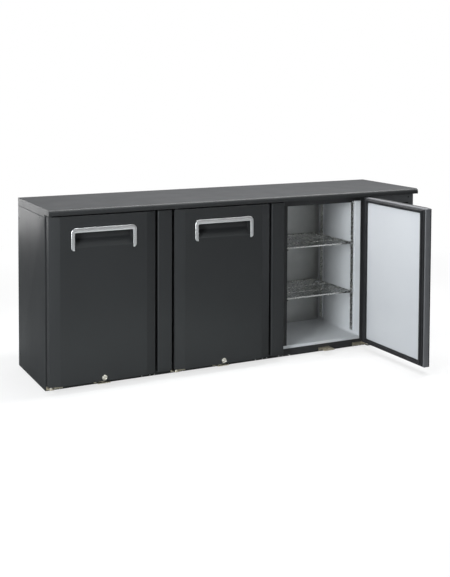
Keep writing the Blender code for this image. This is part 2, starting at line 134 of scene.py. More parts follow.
def make_studio():
    bpy.context.scene.view_settings.view_transform = "Standard"
    add_light("left", (-3.7, -2.4, 1.5), (-0.2, -0.2, 0.4), (1.5, 1.6), 165, (0.95, 1.0, 1.02))
    add_light("front", (1.7, -5.0, 0.9), (0.0, -0.2, 0.4), (1.8, 1.4), 10)
    add_light("overhead", (0.6, -0.2, 2.2), (0.6, -0.2, 0.8), (3.4, 0.4), 78)
    add_light("above_front", (0.3, -0.85, 2.4), (0.0, -0.3, 0.6), (3.2, 0.4), 11, (0.93, 1.0, 0.99))
    add_light("low_front", (-0.4, -0.85, 0.02), (-0.4, -0.25, 0.12), (1.3, 0.12), 0.9,
              (0.9, 1.0, 0.97))
    add_light("back_left", (-1.37, 1.25, 0.66), (-1.0, 0.2, 0.72), (0.5, 0.28), 2.0)
    add_light("rear", (0.9, 3.8, 0.4), (0.0, 0.3, 0.4), (2.6, 0.7), 60)

    world = bpy.data.worlds.new("studio")
    bpy.context.scene.world = world
    world.use_nodes = True
    nodes, links = world.node_tree.nodes, world.node_tree.links
    background = nodes["Background"]
    direction = nodes.new("ShaderNodeTexCoord")
    towards = nodes.new("ShaderNodeVectorMath")
    towards.operation = "DOT_PRODUCT"
    towards.inputs[1].default_value = Vector((0.35, 0.85, 0.35)).normalized()
    links.new(direction.outputs["Generated"], towards.inputs[0])
    ramp = nodes.new("ShaderNodeValToRGB")
    ramp.color_ramp.elements[0].color = (0.09, 0.09, 0.095, 1.0)
    ramp.color_ramp.elements[1].color = (0.62, 0.63, 0.645, 1.0)
    spread = nodes.new("ShaderNodeMapRange")
    spread.inputs["From Min"].default_value = 0.0
    links.new(towards.outputs["Value"], spread.inputs["Value"])
    links.new(spread.outputs["Result"], ramp.inputs["Fac"])
    links.new(ramp.outputs["Color"], background.inputs["Color"])
    shown = nodes.new("ShaderNodeBackground")
    shown.inputs["Color"].default_value = (1.0, 1.0, 1.0, 1.0)
    seen = nodes.new("ShaderNodeLightPath").outputs["Is Camera Ray"]
    mix = mix_shaders(world.node_tree, seen, background, shown)
    links.new(mix.outputs[0], nodes["World Output"].inputs["Surface"])


def make_floor():
    """A pale floor that glows a little, more and more towards the white of the studio."""
    shape = bmesh.new()
    bmesh.ops.create_circle(shape, cap_ends=True, radius=45.0, segments=64)
    floor = mesh_object("studio_floor", shape)
    paper = Finish("floor_paper", "floor", Roughness=0.9)
    shade = paper.blend(paper.noise(6.0, 3.0), (0.86, 0.86, 0.87), (0.9, 0.9, 0.9))
    paper.link(shade, "Base Color")
    tree = paper.material.node_tree
    distance = paper.add("ShaderNodeVectorMath", operation="LENGTH")
    tree.links.new(paper.place, distance.inputs[0])
    far = paper.spread(distance.outputs["Value"], 1.2, 3.5, 0.72, 1.0)
    shown = mix_shaders(tree, far, paper.shader, paper.add("ShaderNodeEmission"))
    lit = paper.add("ShaderNodeBsdfDiffuse")
    lit.inputs["Color"].default_value = (0.3, 0.31, 0.31, 1.0)
    seen = paper.add("ShaderNodeLightPath").outputs["Is Camera Ray"]
    mix = mix_shaders(tree, seen, lit, shown)
    tree.links.new(mix.outputs[0], tree.nodes["Material Output"].inputs["Surface"])
    floor.data.materials.append(paper.material)


# ---------------------------------------------------------------- finishes


class Finish:
    """A Principled material. Its colour, roughness and bump vary by noise in object space."""

    made = {}

    def __init__(self, name, slot, **fixed):
        self.slot = slot
        self.material = bpy.data.materials.new(name)
        self.material.use_nodes = True
        self.tree = self.material.node_tree
        self.shader = self.tree.nodes["Principled BSDF"]
        for socket, value in fixed.items():
            self.shader.inputs[socket.replace("_", " ")].default_value = value
        self.place = self.add("ShaderNodeTexCoord").outputs["Object"]
        Finish.made[name] = self

    def add(self, kind, **settings):
        node = self.tree.nodes.new(kind)
        for setting, value in settings.items():
            setattr(node, setting, value)
        return node

    def link(self, output, socket):
        self.tree.links.new(output, self.shader.inputs[socket])

    def stretched(self, factors):
        mapping = self.add("ShaderNodeMapping")
        mapping.inputs["Scale"].default_value = factors
        self.tree.links.new(self.place, mapping.inputs["Vector"])
        return mapping.outputs["Vector"]

    def noise(self, scale, detail=2.0, stretch=None):
        node = self.add("ShaderNodeTexNoise")
        node.inputs["Scale"].default_value = scale
        node.inputs["Detail"].default_value = detail
        where = self.stretched(stretch) if stretch else self.place
        self.tree.links.new(where, node.inputs["Vector"])
        return node.outputs["Fac"]

    def cells(self, scale, output="Color"):
        node = self.add("ShaderNodeTexVoronoi")
        node.inputs["Scale"].default_value = scale
        self.tree.links.new(self.place, node.inputs["Vector"])
        return node.outputs[output]

    def spread(self, value, low, high, to_low, to_high):
        node = self.add("ShaderNodeMapRange")
        for socket, number in zip(("From Min", "From Max", "To Min", "To Max"),
                                  (low, high, to_low, to_high)):
            node.inputs[socket].default_value = number
        self.tree.links.new(value, node.inputs["Value"])
        return node.outputs["Result"]

    def blend(self, value, first, second, low=0.3, high=0.7):
        """A colour between first and second, each a colour or an output."""
        node = self.add("ShaderNodeMix", data_type="RGBA")
        self.tree.links.new(self.spread(value, low, high, 0.0, 1.0), node.inputs["Factor"])
        for socket, colour in ((6, first), (7, second)):
            if isinstance(colour, tuple):
                node.inputs[socket].default_value = (*colour, 1.0)
            else:
                self.tree.links.new(colour, node.inputs[socket])
        return node.outputs[2]

    def bump(self, *layers):
        """layers are (height output, depth in metres), the coarsest first."""
        normal = None
        for height, depth in layers:
            node = self.add("ShaderNodeBump")
            node.inputs["Strength"].default_value = 1.0
            node.inputs["Distance"].default_value = depth
            self.tree.links.new(height, node.inputs["Height"])
            if normal:
                self.tree.links.new(normal, node.inputs["Normal"])
            normal = node.outputs["Normal"]
        self.link(normal, "Normal")

    def rough(self, value, low, high):
        self.link(self.spread(value, 0.3, 0.7, low, high), "Roughness")


def powder_coat(name, slot, dark, light, rough):
    """Fine orange peel, a faint cloudiness, and wipe marks that show in the gloss."""
    coat = Finish(name, slot, Specular_IOR_Level=0.34)
    cloud = coat.noise(2.2, 4.0)
    speck = coat.noise(900.0, 1.0)
    coat.link(coat.blend(speck, coat.blend(cloud, dark, light), light, 0.55, 1.2), "Base Color")
    wipes = coat.noise(9.0, 5.0, (1.0, 1.0, 0.25))
    coat.rough(wipes, *rough)
    coat.bump((coat.noise(330.0, 2.0), 0.00005), (speck, 0.000012))
    return coat


def coated_sheet(name, slot, shade, shadow, rough, dimple):
    sheet = Finish(name, slot, Specular_IOR_Level=0.5)
    sheet.link(sheet.blend(sheet.noise(3.0, 5.0), shadow, shade, 0.25, 0.6), "Base Color")
    sheet.rough(sheet.noise(14.0, 3.0), *rough)
    sheet.bump((sheet.noise(2.5, 1.0), 0.0012), (sheet.noise(dimple, 2.0), 0.00003))
    return sheet


def bare_metal(name, slot, dark, light, rough, grain, stretch=None, depth=0.00002):
    metal = Finish(name, slot, Metallic=1.0)
    streak = metal.noise(grain, 3.0, stretch)
    metal.link(metal.blend(streak, dark, light), "Base Color")
    metal.rough(metal.noise(grain * 0.2, 4.0, stretch), *rough)
    metal.bump((streak, depth))
    return metal


def moulded(name, slot, shade, pale, rough, grain):
    plastic = Finish(name, slot, Specular_IOR_Level=0.45)
    plastic.link(plastic.blend(plastic.noise(grain * 0.02, 4.0), shade, pale), "Base Color")
    pimple = plastic.noise(grain, 2.0)
    plastic.rough(pimple, *rough)
    plastic.bump((pimple, 0.00004))
    return plastic


def make_finishes():
    powder_coat("paint", "painted", (0.022, 0.0228, 0.024), (0.026, 0.0268, 0.028), (0.42, 0.47))
    # A lit copy of the same anthracite paint, about five times lighter: painted light on the machine
    # cover, which the open door and the worktop shade.
    powder_coat("paint_lit_cover", "painted", (0.105, 0.108, 0.112), (0.113, 0.116, 0.12), (0.42, 0.47))
    powder_coat("paint_inside", "painted_recess", (0.026, 0.026, 0.027), (0.032, 0.032, 0.033),
                (0.42, 0.5))
    coated_sheet("liner", "liner_white", (0.66, 0.67, 0.69), (0.6, 0.61, 0.63), (0.34, 0.44), 500)
    lining = coated_sheet("door_gloss", "door_lining", (0.57, 0.58, 0.605), (0.54, 0.55, 0.58),
                          (0.14, 0.22), 260)
    lining.shader.inputs["Coat Weight"].default_value = 0.3
    lining.shader.inputs["Coat Roughness"].default_value = 0.08

    zinc = Finish("spangle", "galvanised", Metallic=1.0)
    flake = zinc.cells(70.0)
    zinc.link(zinc.blend(flake, (0.36, 0.37, 0.38), (0.56, 0.57, 0.58), 0.0, 1.0), "Base Color")
    zinc.link(zinc.spread(flake, 0.0, 1.0, 0.3, 0.5), "Roughness")
    zinc.bump((zinc.noise(160.0, 3.0), 0.00003))

    stucco = Finish("stucco", "aluminium", Metallic=0.85)
    lump = stucco.cells(150.0, "Distance")
    stucco.link(stucco.blend(stucco.noise(5.0, 4.0), (0.40, 0.40, 0.39), (0.5, 0.5, 0.49)),
                "Base Color")
    stucco.rough(stucco.noise(30.0, 3.0), 0.38, 0.5)
    stucco.bump((lump, 0.00035))

    moulded("rubber", "rubber_black", (0.014, 0.014, 0.016), (0.022, 0.022, 0.024), (0.5, 0.7), 900)
    moulded("edge_grey", "painted", (0.125, 0.125, 0.133), (0.14, 0.14, 0.148), (0.4, 0.5), 700)
    moulded("plastic", "black_plastic", (0.018, 0.018, 0.02), (0.03, 0.03, 0.032), (0.42, 0.6), 1400)
    moulded("white_plastic", "liner_white", (0.6, 0.6, 0.61), (0.68, 0.68, 0.68), (0.3, 0.45), 1200)
    moulded("resin", "black_plastic", (0.05, 0.05, 0.052), (0.07, 0.07, 0.07), (0.3, 0.4), 1000)
    bare_metal("satin_silver", "handle_silver", (0.78, 0.78, 0.785), (0.86, 0.86, 0.86),
               (0.34, 0.44), 700.0)
    bare_metal("plated_wire", "shelf_wire", (0.5, 0.5, 0.48), (0.68, 0.67, 0.64), (0.18, 0.34), 240.0)
    bare_metal("nickel", "lock_metal", (0.72, 0.68, 0.60), (0.86, 0.82, 0.75), (0.28, 0.4), 900.0)
    bare_metal("screw_zinc", "bracket_steel", (0.6, 0.6, 0.58), (0.8, 0.8, 0.76), (0.2, 0.36), 600.0)
    bare_metal("passivated", "bracket_steel", (0.62, 0.54, 0.40), (0.76, 0.70, 0.58), (0.34, 0.5), 60.0)
    bare_metal("fins", "aluminium", (0.5, 0.51, 0.52), (0.68, 0.69, 0.7), (0.28, 0.44), 90.0)
    bare_metal("copper", None, (0.52, 0.24, 0.13), (0.74, 0.38, 0.24), (0.2, 0.4), 40.0)
    bare_metal("steel", "galvanised", (0.42, 0.42, 0.42), (0.56, 0.56, 0.55), (0.28, 0.42), 120.0,
               (1.0, 1.0, 12.0))

    enamel = powder_coat("enamel", "black_enamel", (0.012, 0.012, 0.013), (0.02, 0.02, 0.021),
                         (0.18, 0.3))
    enamel.shader.inputs["Coat Weight"].default_value = 0.6

    opal = Finish("opal", "light_cover", Subsurface_Weight=0.2, Emission_Strength=3.3)
    milk = opal.blend(opal.noise(12.0, 3.0), (0.8, 0.8, 0.78), (0.88, 0.88, 0.87))
    opal.link(milk, "Base Color")
    opal.link(milk, "Emission Color")
    opal.rough(opal.noise(60.0), 0.3, 0.42)

    glass = Finish("display", "black_plastic", Specular_IOR_Level=0.6)
    glass.link(glass.blend(glass.noise(40.0, 2.0), (0.02, 0.004, 0.004), (0.03, 0.006, 0.006)),
               "Base Color")
    glass.rough(glass.noise(25.0, 3.0), 0.05, 0.14)


# ---------------------------------------------------------------- mesh tools


def within(span, inset):
    return span[0] + inset, span[1] - inset


def rect(a, b):
    """The corners of a rectangle. a and b are (low, high)."""
    return (a[0], b[0]), (a[1], b[0]), (a[1], b[1]), (a[0], b[1])


def moved(outline, place):
    return [(a + place[0], b + place[1]) for a, b in outline]


def sweep(degrees, steps):
    return [math.radians(degrees) * step / steps for step in range(steps + 1)]


def at(axis, first, second, level):
    point = Vector((0.0, 0.0, 0.0))
    a, b, c = PLANES[axis]
    point[a], point[b], point[c] = first, second, level
    return point


def skin(shape, rings, closed=False):
    """Faces between rings of the same number of points. A closed list of rings has no caps."""
    rings = [[shape.verts.new(point) for point in ring] for ring in rings]
    pairs = zip(rings, rings[1:] + rings[:1]) if closed else zip(rings, rings[1:])
    for before, after in pairs:
        for index in range(len(before)):
            following = (index + 1) % len(before)
            shape.faces.new((before[index], before[following], after[following], after[index]))
    if not closed:
        shape.faces.new(rings[0][::-1])
        shape.faces.new(rings[-1])


def prism(shape, outline, axis, span):
    skin(shape, [[at(axis, a, b, level) for a, b in outline] for level in span])


def block(shape, x, y, z):
    prism(shape, rect(x, y), "z", z)


def polar(centre, radius, angle):
    return centre[0] + radius * math.cos(angle), centre[1] + radius * math.sin(angle)


def circle(centre, radius, count=24):
    return [polar(centre, radius, math.tau * step / count) for step in range(count)]


def rod(shape, axis, centre, radius, span, count=24):
    prism(shape, circle(centre, radius, count), axis, span)


def lathe(shape, profile, axis, centre, base=0.0, count=32, closed=False):
    """Turns (radius, level above base) pairs about the axis through centre."""
    rings = [
        [at(axis, a, b, base + level) for a, b in circle(centre, radius, count)]
        for radius, level in profile
    ]
    skin(shape, rings, closed)


def tube(shape, points, radius, sides=8, closed=False):
    """A round wire along the points, with flat ends unless it is closed."""
    points = [Vector(point) for point in points]
    count = len(points)
    side = None
    rings = []
    for index, point in enumerate(points):
        before = points[index - 1] if index or closed else point
        after = points[(index + 1) % count] if index < count - 1 or closed else point
        ahead = (after - before).normalized()
        if side is None:
            side = ahead.orthogonal()
        side = (side - ahead * side.dot(ahead)).normalized()
        up = ahead.cross(side)
        angles = (math.tau * step / sides for step in range(sides))
        rings.append([point + side * radius * math.cos(a) + up * radius * math.sin(a) for a in angles])
    skin(shape, rings, closed)


def rounded(points, radii, steps=6):
    """The outline with each corner replaced by an arc of its radius."""
    result = []
    count = len(points)
    radii = radii if hasattr(radii, "__len__") else [radii] * count
    for index, radius in enumerate(radii):
        here = Vector(points[index])
        if radius <= 0:
            result.append(tuple(here))
            continue
        to_before = (Vector(points[index - 1]) - here).normalized()
        to_after = (Vector(points[(index + 1) % count]) - here).normalized()
        half = to_before.angle(to_after) / 2
        middle = here + (to_before + to_after).normalized() * radius / math.sin(half)
        start = here + to_before * radius / math.tan(half) - middle
        end = here + to_after * radius / math.tan(half) - middle
        turn = start.angle_signed(end)
        for step in range(steps + 1):
            result.append(tuple(middle + Matrix.Rotation(-turn * step / steps, 2) @ start))
    return result


def slot_outline(x, z, steps=6):
    """A slot with round ends. x and z are (low, high)."""
    return rounded(rect(x, z), (z[1] - z[0]) / 2 - 0.01, steps)


def slot_rows(shape, span, rows, height, axis, through, steps=6):
    for low in rows:
        prism(shape, slot_outline(span, (low, low + height), steps), axis, through)


def frame_ring(shape, x, z, profile):
    """Runs a profile of (inset, level along y) pairs round a rectangle in the XZ plane."""
    rings = [[at("y", a, b, level) for a, b in rect(within(x, inset), within(z, inset))]
             for inset, level in profile]
    skin(shape, rings, closed=True)


def screw(shape, place, axis, radius=4, height=2.2):
    """A pan head with a cross recess. axis is the way that the head looks out."""
    dome = [(radius * math.cos(a), height * math.sin(a)) for a in map(math.radians, (0, 25, 50, 68))]
    rings = [[Vector((a, b, level)) for a, b in circle((0, 0), r)]
             for r, level in [(radius, -0.4)] + dome]
    arm, wide = radius * 0.3, radius * 0.09
    cross = []
    for quarter in range(4):
        spin = Matrix.Rotation(math.pi / 2 * quarter, 2)
        for a, b in ((arm, -wide), (arm, 0), (arm, wide), (wide * 1.6, wide * 1.2), (wide, wide),
                     (wide * 1.2, wide * 1.6)):
            cross.append(spin @ Vector((a, b)))
    rings.append([Vector((a, b, height * 0.95)) for a, b in cross])
    rings.append([Vector((a * 0.7, b * 0.7, height * 0.25)) for a, b in cross])
    turn = Vector((0, 0, 1)).rotation_difference(Vector(axis)).to_matrix().to_4x4()
    spot = Matrix.Translation(place) @ turn
    skin(shape, [[spot @ point for point in ring] for ring in rings])


# ---------------------------------------------------------------- pieces


def new_object(name, build, axes):
    """build fills a bmesh in millimetres, in the axes that the matrix turns to the frame's."""
    shape = bmesh.new()
    build(shape)
    shape.transform(Matrix.Scale(MM, 4))
    if axes:
        shape.transform(axes)
    bmesh.ops.recalc_face_normals(shape, faces=shape.faces)
    return mesh_object(name, shape)


def add_bevel(obj, width, segments):
    edge = obj.modifiers.new("edge", "BEVEL")
    edge.width = width * MM
    edge.segments = segments
    edge.limit_method = "ANGLE"
    edge.angle_limit = SMOOTH_BELOW
    edge.use_clamp_overlap = False
    return edge


def wear(obj, finish):
    obj.data.materials.clear()
    obj.data.materials.append(Finish.made[finish].material)


def piece(name, finish, build, body="cabinet", axes=None, bevel=0.0, segments=2, replaces=None,
          carve=()):
    """Makes one piece. replaces is a CAD node. Each of carve fills a bmesh to cut away."""
    obj = new_object(name, build, axes)
    for filler in carve:
        cutter = new_object(name + "_cutter", filler, axes)
        modifier = obj.modifiers.new("carve", "BOOLEAN")
        modifier.operation = "DIFFERENCE"
        modifier.object = cutter
        graph = bpy.context.evaluated_depsgraph_get()
        cut_mesh = bpy.data.meshes.new_from_object(obj.evaluated_get(graph))
        obj.modifiers.clear()
        obj.data = cut_mesh
        bpy.data.objects.remove(cutter, do_unlink=True)
    obj.data.shade_smooth()
    if bevel:
        add_bevel(obj, bevel, segments).harden_normals = True
    else:
        obj.data.set_sharp_from_angle(angle=SMOOTH_BELOW)
    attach(obj, body)
    wear(obj, finish)
    if replaces:
        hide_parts(replaces)


def keep(node, finish, bevel):
    """Shows a CAD node as it is, with a finish and softer edges."""
    obj = frame["nodes"][node]
    weld = obj.modifiers.new("weld", "WELD")
    weld.merge_threshold = WELD_BELOW
    add_bevel(obj, bevel, 2)
    wear(obj, finish)


# ---------------------------------------------------------------- cabinet shell


def make_worktop():
    top = Box("worktop")
    low, high = top.z0 + 10, top.z1 - 17
    nose, drip, underside, groove = 14, 12, 66, 2

    def build(shape):
        curve = [(top.y0 + nose * (1 - math.cos(a)), high + (top.z1 - high) * math.sin(a))
                 for a in sweep(90, 16)]
        behind = [(underside, low), (drip, low), (drip, low + 1), (groove, low + 1), (groove, low)]
        outline = [(top.y0, low)] + curve + [
            (top.y1, top.z1), (top.y1, top.z0), (top.y0 + underside, top.z0),
        ] + [(top.y0 + y, z) for y, z in behind]
        prism(shape, outline, "x", top.x)

    piece("worktop_cover", "paint", build, bevel=0.7, replaces="worktop")


def folded_side(panel, facing):
    """Plan of a side sheet folded in at its front and back. facing is 1 on the left, -1 right."""
    outer = panel.x0 if facing > 0 else panel.x1
    fold = outer + facing * 14
    inner = outer + facing * SHEET
    y0, y1 = panel.y
    plan = (
        (fold, y0), (outer, y0), (outer, y1), (fold, y1), (fold, y1 - SHEET), (inner, y1 - SHEET),
        (inner, y0 + SHEET), (fold, y0 + SHEET),
    )
    return rounded(plan, (0, 2.2, 2.2, 0, 0, 0.7, 0.7, 0), 5)


def make_sides():
    left, right = Box("side_panel_left"), Box("side_panel_right")
    seam = 1.6
    height = (left.z0, left.z1 - seam)
    hole, hole_radius = (left.y0 + 74, left.z1 - 11), 3.2
    slot_y, slot_height = (right.y0 + 117, right.y0 + 337), 9
    rows = [90 + 26 * row for row in range(10)]

    def left_hole(shape):
        rod(shape, "x", hole, hole_radius, (left.x0 - 5, left.x0 + 5), 20)

    def vents(shape):
        slot_rows(shape, slot_y, rows, slot_height, "x", (right.x1 - 10, right.x1 + 10))
        rod(shape, "x", hole, hole_radius, (right.x1 - 5, right.x1 + 5), 20)

    def seam_and_hole_shade(shape):
        """Black rubber strips that the worktop lies on, painted shade that darkens the seam line, and
        black plugs in the holes, painted shade for their dark insides.
        """
        for outer, way in ((left.x0, 1), (right.x1, -1)):
            strip = sorted((outer + way * 0.7, outer + way * 13))
            block(shape, strip, (left.y0 + 0.7, left.y1 - 2), (height[1], left.z1 + 0.2))
            plug = sorted((outer + way * 0.9, outer + way * 1.4))
            rod(shape, "x", hole, hole_radius - 0.1, plug, 20)

    # Black rubber in the seam and in the holes: painted shade for the dark seam line and the dark
    # holes.
    piece("side_seam_and_hole_shade", "rubber", seam_and_hole_shade)
    piece("side_sheet_left", "paint",
          lambda shape: prism(shape, folded_side(left, 1), "z", height),
          bevel=0.3, segments=1, replaces="side_panel_left", carve=[left_hole])
    piece("side_sheet_right", "paint",
          lambda shape: prism(shape, folded_side(right, -1), "z", height),
          bevel=0.3, segments=1, replaces="side_panel_right", carve=[vents])

    def hoods(shape):
        """A pressed louvre over each slot, open at its lower edge."""
        rise, reach, overlap, steps = 12, 4.5, 4, 12
        for low in rows:
            rings = []
            for step in range(steps + 1):
                along = step / steps
                swell = min(1.0, math.sin(math.pi * along) * 2.2)
                y = slot_y[0] - overlap + (slot_y[1] - slot_y[0] + 2 * overlap) * along
                arc = [(right.x1 + reach * swell * math.sin(a), low + rise * math.cos(a))
                       for a in sweep(90, 5)]
                back = [(x - 0.9 * (1 if swell else 0), z - 0.5) for x, z in reversed(arc)]
                rings.append([Vector((x, y, z)) for x, z in arc + back])
            skin(shape, rings)

    piece("louvre_hoods", "paint", hoods)

    def screws(shape):
        for x, way in ((left.x0, -1), (right.x1, 1)):
            for z in (left.z0 + 60, left.cz, left.z1 - 60):
                screw(shape, (x + way * 0.1, left.y1 - 16, z), (way, 0, 0), 3.6)

    piece("side_screws", "enamel", screws)


def make_back():
    back, inlet = Box("back_panel"), Box("power_inlet")
    rows = [150 + 30 * row for row in range(12)]
    slot_x, slot_height = (back.x0 + 1760, back.x0 + 1950), 10
    through = within(back.y, -10)
    inset = 12

    def build(shape):
        prism(shape, rounded(rect(back.x, back.z), 3), "y", back.y)

    def openings(shape):
        slot_rows(shape, slot_x, rows, slot_height, "y", through)
        block(shape, within(inlet.x, -1), through, within(inlet.z, -1))

    piece("back_sheet", "spangle", build, bevel=0.25, segments=1, replaces="back_panel",
          carve=[openings])

    def beads(shape):
        """Pressed stiffening beads across the sheet."""
        for share in (0.18, 0.36, 0.54, 0.72):
            middle = back.x0 + (back.x1 - back.x0) * share
            arc = [(middle + 7 * math.cos(a), back.y1 - 1 + 3.2 * math.sin(a))
                   for a in sweep(180, 8)]
            prism(shape, arc, "z", within(back.z, 70))

    piece("back_beads", "spangle", beads)

    def screws(shape):
        left, right = within(back.x, inset)
        places = [(left + (right - left) * column / 8, z)
                  for column in range(9) for z in within(back.z, inset)]
        places += [(x, back.z0 + (back.z1 - back.z0) * share)
                   for share in (0.25, 0.5, 0.75) for x in (left, right)]
        for x, z in places:
            screw(shape, (x, back.y1, z), (0, 1, 0), 4.2)

    piece("back_screws", "screw_zinc", screws)


def make_feet():
    pad = ((18.5, 0), (20, 0.8), (20, 3.2), (18.5, 4.4), (11, 5.4), (9.5, 6.2), (9.5, 7))
    for place in ("front_left", "front_right", "back_left", "back_right", "middle"):
        foot = Box("foot_" + place)
        centre = (foot.cx, foot.cy)

        def build(shape):
            lathe(shape, pad, "z", centre, foot.z0, 40)
            prism(shape, circle(centre, 8.5, 6), "z", (foot.z0 + pad[-1][1], foot.z1))

        piece(f"foot_{place}_pad", "plastic", build, bevel=0.3, replaces="foot_" + place)


# ---------------------------------------------------------------- front frame


def folded_plan(box, wall, outer, inner, steps):
    """Plan of a sheet folded back at both ends, with its outer and inner corner radii."""
    (x0, x1), (y0, y1) = box.x, box.y
    plan = ((x0, y1), (x0, y0), (x1, y0), (x1, y1), (x1 - wall, y1), (x1 - wall, y0 + wall),
            (x0 + wall, y0 + wall), (x0 + wall, y1))
    return rounded(plan, (0, outer, outer, 0, 0, inner, inner, 0), steps)


def make_front_frame():
    for node in ("rail_bottom", "rail_top", "stile_left", "stile_right", "mullion_1", "mullion_2"):
        keep(node, "paint_inside", 0.6)
    keep("base_pan", "spangle", 0.3)
    wall = 2
    for number in (1, 2):
        cover = Box(f"pillar_{number}")

        def build(shape):
            prism(shape, folded_plan(cover, wall, 4.5, 2.5, 8), "z", cover.z)
            for z in ((cover.z0 + 2, cover.z0 + 5), (cover.z1 - 5, cover.z1 - 2)):
                block(shape, within(cover.x, wall + GAP), (cover.y0 + wall + GAP, cover.y1), z)

        piece(f"pillar_cover_{number}", "paint", build, bevel=0.4, replaces=f"pillar_{number}")

    rail = Box("rail_bottom")

    def rail_screws(shape):
        for number in DOORS:
            hinge, keeper = Box(f"hinge_{number}"), Box(f"keeper_{number}")
            way = 1 if hinge.cx < keeper.cx else -1
            near = hinge.x0 if way > 0 else hinge.x1
            far = 2 * keeper.cx - hinge.cx
            places = [(near + way * offset, rail.y0 - 3.2) for offset in (14, 36, 62)]
            places += [(far - way * offset, rail.y0 - 0.1) for offset in (-52, -29, 10)]
            for x, y in places:
                screw(shape, (x, y, rail.z0 + 4.5), (0, -1, 0), 3.4, 2)

    piece("rail_screws", "screw_zinc", rail_screws)


def make_hinges():
    lip = 2.7
    plate_z, catch_z = (25, 29), (24, 28)
    for number in DOORS:
        plate, keeper = Box(f"hinge_{number}"), Box(f"keeper_{number}")
        pivot = joint_place(f"door_{number}_hinge")
        near = pivot[0] - plate.x0 < plate.x1 - pivot[0]
        edge, far = (plate.x0, plate.x1) if near else (plate.x1, plate.x0)
        way = 1 if near else -1

        def arm(shape):
            step = plate.y0 + 40
            outline = (
                (edge, plate.y1), (edge, plate.y0), (edge + way * 21, plate.y0),
                (edge + way * 27, step), (far, step), (far, plate.y1),
            )
            outline = outline if near else outline[::-1]
            radii = [7 if y < plate.y0 + 1 else 3 if y < plate.y1 else 0 for _, y in outline]
            prism(shape, rounded(outline, radii), "z", plate_z)
            block(shape, plate.x, (plate.y1 - lip, plate.y1), (plate.z0, plate_z[0]))

        piece(f"hinge_plate_{number}", "passivated", arm, bevel=0.5, replaces=f"hinge_{number}")

        def pin(shape):
            profile = ((8, 29.1), (8, 33.6), (7.4, 34.2), (4, 34.3), (4, 47), (3.4, 48))
            lathe(shape, profile, "z", pivot[:2])

        piece(f"hinge_pin_{number}", "nickel", pin)

        def catch(shape):
            corners = rect(keeper.x, keeper.y)
            prism(shape, rounded(corners[3:] + corners[:3], (0, 4, 4, 0)), "z", catch_z)
            block(shape, keeper.x, (keeper.y1 - lip, keeper.y1), (keeper.z0, catch_z[0]))

        def slot(shape):
            x = (keeper.x0 + 10, keeper.x0 + 42)
            prism(shape, slot_outline(x, (keeper.y0 + 15, keeper.y0 + 25)), "z", (20, 32))

        piece(f"keeper_plate_{number}", "passivated", catch, bevel=0.4,
              replaces=f"keeper_{number}", carve=[slot])


# ---------------------------------------------------------------- doors


def door_axes(number):
    """Turns a door's own axes into the frame's, from where its panel lies at rest."""
    low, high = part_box(f"door_{number}_panel")
    if high.x - low.x > high.y - low.y:
        return Matrix.Translation((low.x, low.y, 0.0))
    return Matrix.Translation((high.x, low.y, 0.0)) @ Matrix.Rotation(math.pi / 2, 4, "Z")


def door_part(number, part):
    return Box(f"door_{number}_{part}", axes=door_axes(number).inverted())


